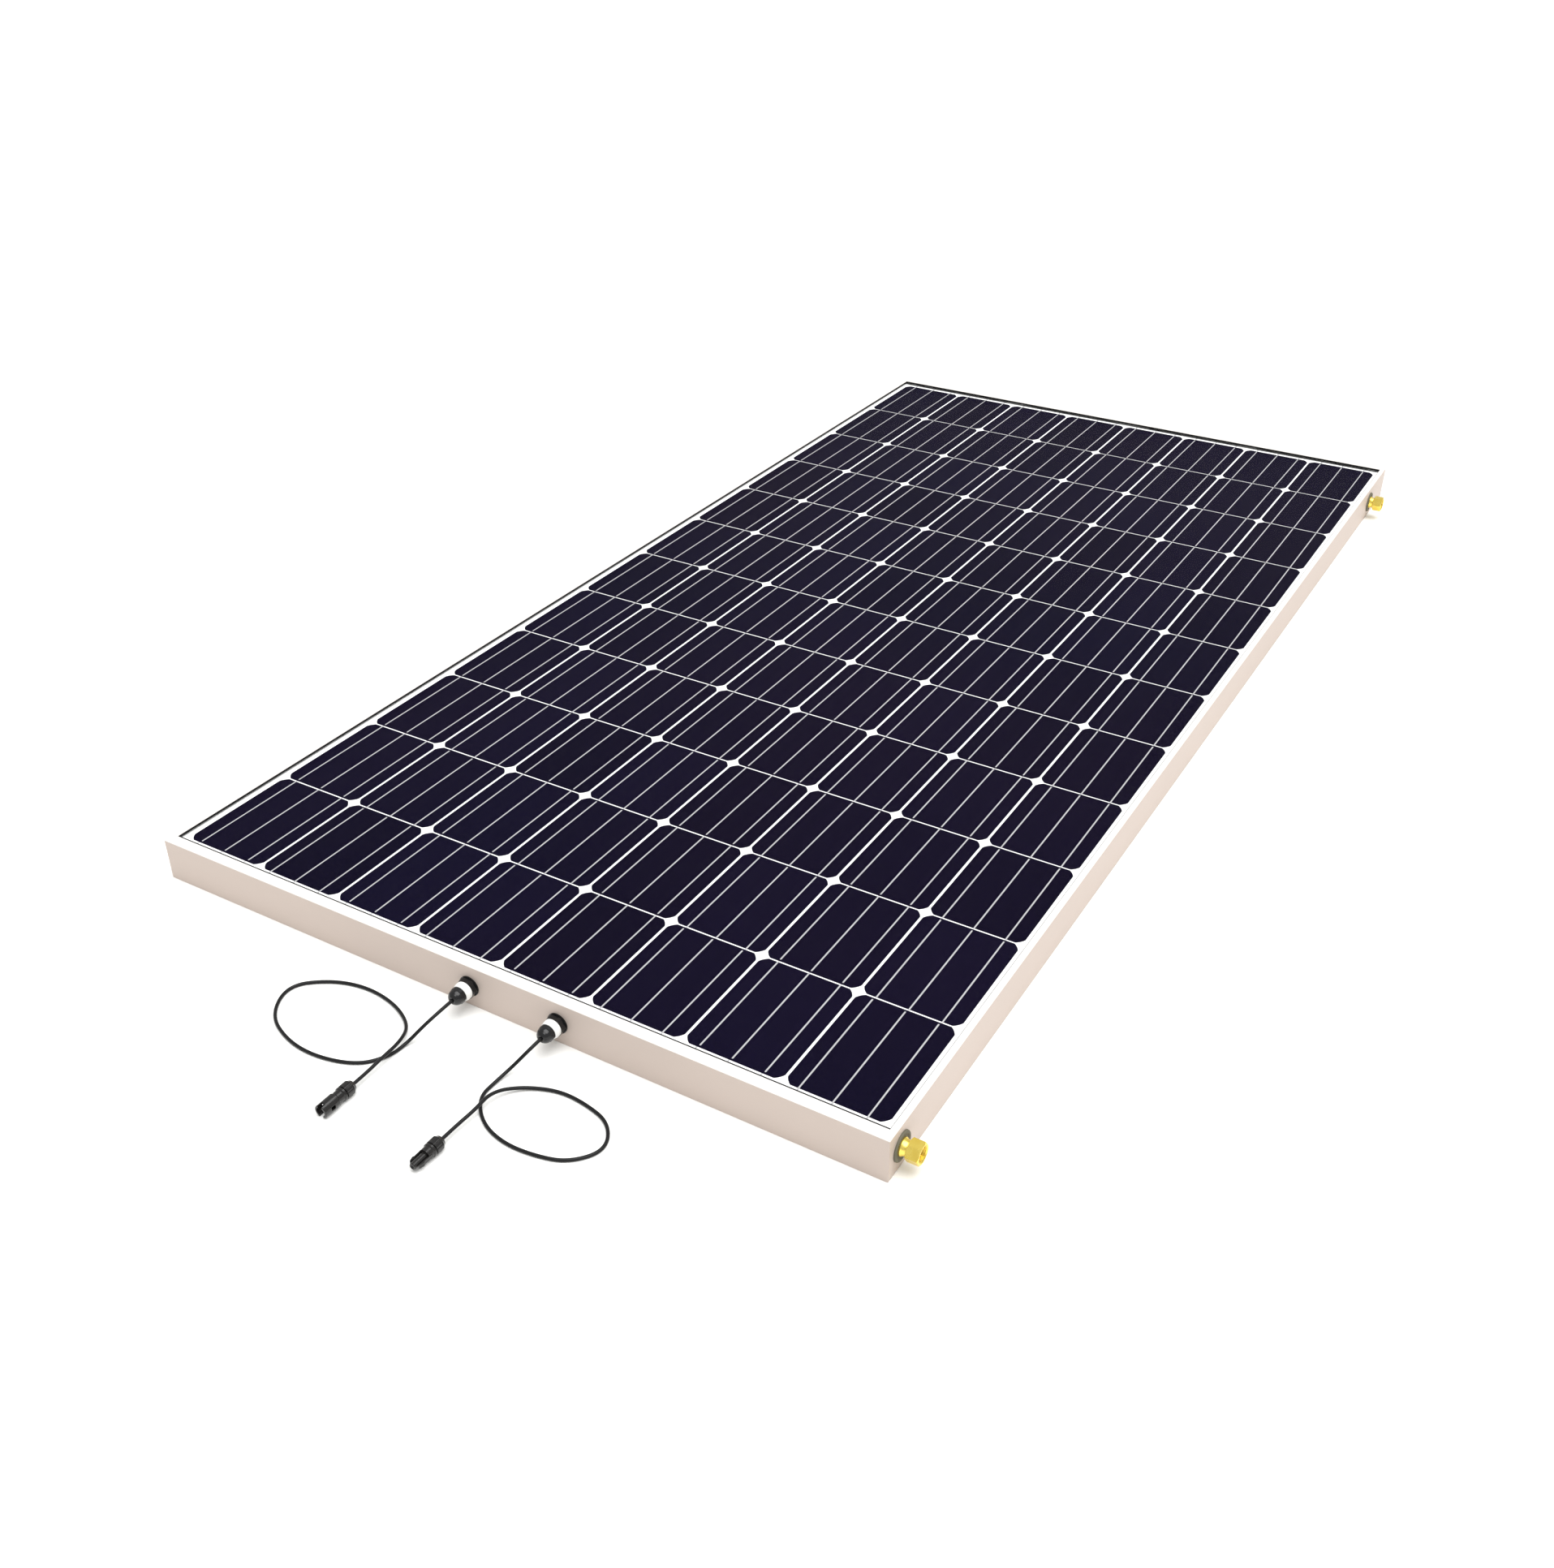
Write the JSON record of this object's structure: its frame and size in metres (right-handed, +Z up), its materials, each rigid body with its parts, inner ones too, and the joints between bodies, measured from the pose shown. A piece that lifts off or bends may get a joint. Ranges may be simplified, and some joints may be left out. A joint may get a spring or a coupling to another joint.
{
  "type": "solar panel",
  "caption": "Hybrid solar panel: monocrystalline cell laminate in a shallow silver casing, brass union nuts on one long side, cable glands with coiled leads on a short side.",
  "frame": {"origin": "centre of the casing's plan outline, on its bottom plane, which is also the centre of the four mounting holes", "axes": "+Z up out of the glass, +Y along the casing's length away from the leads, +X towards the two pipe unions"},
  "size_m": [1.016, 2.225, 0.055],
  "materials": {
    "cover_glass": "clear, low-iron, faint anti-reflective sheen",
    "clear_film": "clear cured film",
    "cell": "near-black navy silicon with fine silver grid lines",
    "tinned_ribbon": "tinned copper ribbon, satin",
    "white_film": "white pigmented film, matte",
    "black_seal": "black rubber, matte",
    "absorber": "mill finish",
    "copper": "drawn copper, slightly dulled",
    "mineral_wool": "fibrous, matte",
    "anodised_rail": "fine satin anodised, warm silver",
    "key_metal": "cast, matte",
    "cover_sheet": "satin sheet",
    "rivet_metal": "satin",
    "vent_plastic": "moulded black",
    "brass": "bright machined brass",
    "fibre": "red-brown fibre",
    "grommet_rubber": "olive-grey rubber",
    "box_plastic": "moulded black",
    "diode_body": "moulded black with plain wires",
    "terminal_metal": "tinned brass",
    "lead_sheath": "black cross-linked sheath, satin",
    "white_nylon": "white nylon",
    "black_nylon": "black nylon, semi-gloss",
    "seal_rubber": "dark grey rubber",
    "plug_plastic": "black moulded, semi-gloss",
    "contact_metal": "tinned"
  },
  "bodies": {
    "casing": {"front_glass": "cover_glass", "front_encapsulant": "clear_film", "cell_string_1": "cell", "cell_string_2": "cell", "cell_string_3": "cell", "cell_string_4": "cell", "cell_string_5": "cell", "cell_string_6": "cell", "cell_string_7": "cell", "cell_string_8": "cell", "interconnect_ribbons": "tinned_ribbon", "bus_ribbons": "tinned_ribbon", "bus_feeders": "tinned_ribbon", "backsheet": "white_film", "rear_encapsulant": "white_film", "laminate_gasket": "black_seal", "absorber_plate": "absorber", "front_header": "copper", "back_header": "copper", "riser_tubes": "copper", "header_caps": "copper", "insulation_board": "mineral_wool", "front_rail": "anodised_rail", "back_rail": "anodised_rail", "left_rail": "anodised_rail", "right_rail": "anodised_rail", "corner_keys": "key_metal", "back_cover": "cover_sheet", "cover_rivets": "rivet_metal", "vent_plugs": "vent_plastic", "front_port_stub": "brass", "back_port_stub": "brass", "union_washers": "fibre", "pipe_grommets": "grommet_rubber", "junction_box": "box_plastic", "junction_box_lid": "box_plastic", "bypass_diodes": "diode_body", "terminal_clips": "terminal_metal", "inner_leads": "lead_sheath", "left_cable": "lead_sheath", "right_cable": "lead_sheath", "gland_bodies": "white_nylon", "gland_locknuts": "black_nylon", "pin_housing": "plug_plastic", "socket_housing": "plug_plastic", "pin_contact": "contact_metal", "socket_contact": "contact_metal"},
    "front_union": {"front_union_nut": "brass"},
    "back_union": {"back_union_nut": "brass"},
    "left_seal": {"left_gland_seal": "seal_rubber"},
    "left_dome": {"left_gland_nut": "black_nylon"},
    "right_seal": {"right_gland_seal": "seal_rubber"},
    "right_dome": {"right_gland_nut": "black_nylon"},
    "pin_plug_seal": {"pin_seal": "seal_rubber"},
    "pin_plug_cap": {"pin_nut": "plug_plastic"},
    "socket_plug_seal": {"socket_seal": "seal_rubber"},
    "socket_plug_cap": {"socket_nut": "plug_plastic"},
    "left_latch": {"latch_arm_left": "plug_plastic"},
    "right_latch": {"latch_arm_right": "plug_plastic"}
  },
  "joints": [
    {"name": "front_union_turn", "type": "hinge", "parent": "casing", "child": "front_union", "pos_m": [0.512, -0.974, 0.0275], "axis": [1, 0, 0], "continuous": true},
    {"name": "back_union_turn", "type": "hinge", "parent": "casing", "child": "back_union", "pos_m": [0.512, 0.89, 0.0275], "axis": [1, 0, 0], "continuous": true},
    {"name": "left_gland_slide", "type": "slide", "parent": "casing", "child": "left_seal", "axis": [0, -1, 0], "range_m": [0, 0.00225]},
    {"name": "left_gland_turn", "type": "hinge", "parent": "left_seal", "child": "left_dome", "pos_m": [-0.022, -1.021, 0.0275], "axis": [0, -1, 0], "range_deg": [0, 540]},
    {"name": "right_gland_slide", "type": "slide", "parent": "casing", "child": "right_seal", "axis": [0, -1, 0], "range_m": [0, 0.00225]},
    {"name": "right_gland_turn", "type": "hinge", "parent": "right_seal", "child": "right_dome", "pos_m": [0.099, -1.021, 0.0275], "axis": [0, -1, 0], "range_deg": [0, 540]},
    {"name": "pin_cap_slide", "type": "slide", "parent": "casing", "child": "pin_plug_seal", "axis": [0, 1, 0], "range_m": [0, 0.00225]},
    {"name": "pin_cap_turn", "type": "hinge", "parent": "pin_plug_seal", "child": "pin_plug_cap", "pos_m": [-0.04, -1.175, 0.008], "axis": [0, 1, 0], "range_deg": [0, 540]},
    {"name": "socket_cap_slide", "type": "slide", "parent": "casing", "child": "socket_plug_seal", "axis": [0, 1, 0], "range_m": [0, 0.00225]},
    {"name": "socket_cap_turn", "type": "hinge", "parent": "socket_plug_seal", "child": "socket_plug_cap", "pos_m": [0.091, -1.189, 0.008], "axis": [0, 1, 0], "range_deg": [0, 540]},
    {"name": "left_latch_flex", "type": "hinge", "parent": "casing", "child": "left_latch", "pos_m": [0.0849, -1.205, 0.008], "axis": [0, 0, 1], "range_deg": [0, 3], "stiffness_Nm_per_rad": 1.5},
    {"name": "right_latch_flex", "type": "hinge", "parent": "casing", "child": "right_latch", "pos_m": [0.0971, -1.205, 0.008], "axis": [0, 0, -1], "range_deg": [0, 3], "stiffness_Nm_per_rad": 1.5}
  ],
  "couplings": [
    {"joint": "left_gland_turn", "follows": "left_gland_slide", "rad_per_m": 4188.8},
    {"joint": "right_gland_turn", "follows": "right_gland_slide", "rad_per_m": 4188.8},
    {"joint": "pin_cap_turn", "follows": "pin_cap_slide", "rad_per_m": 4188.8},
    {"joint": "socket_cap_turn", "follows": "socket_cap_slide", "rad_per_m": 4188.8}
  ]
}
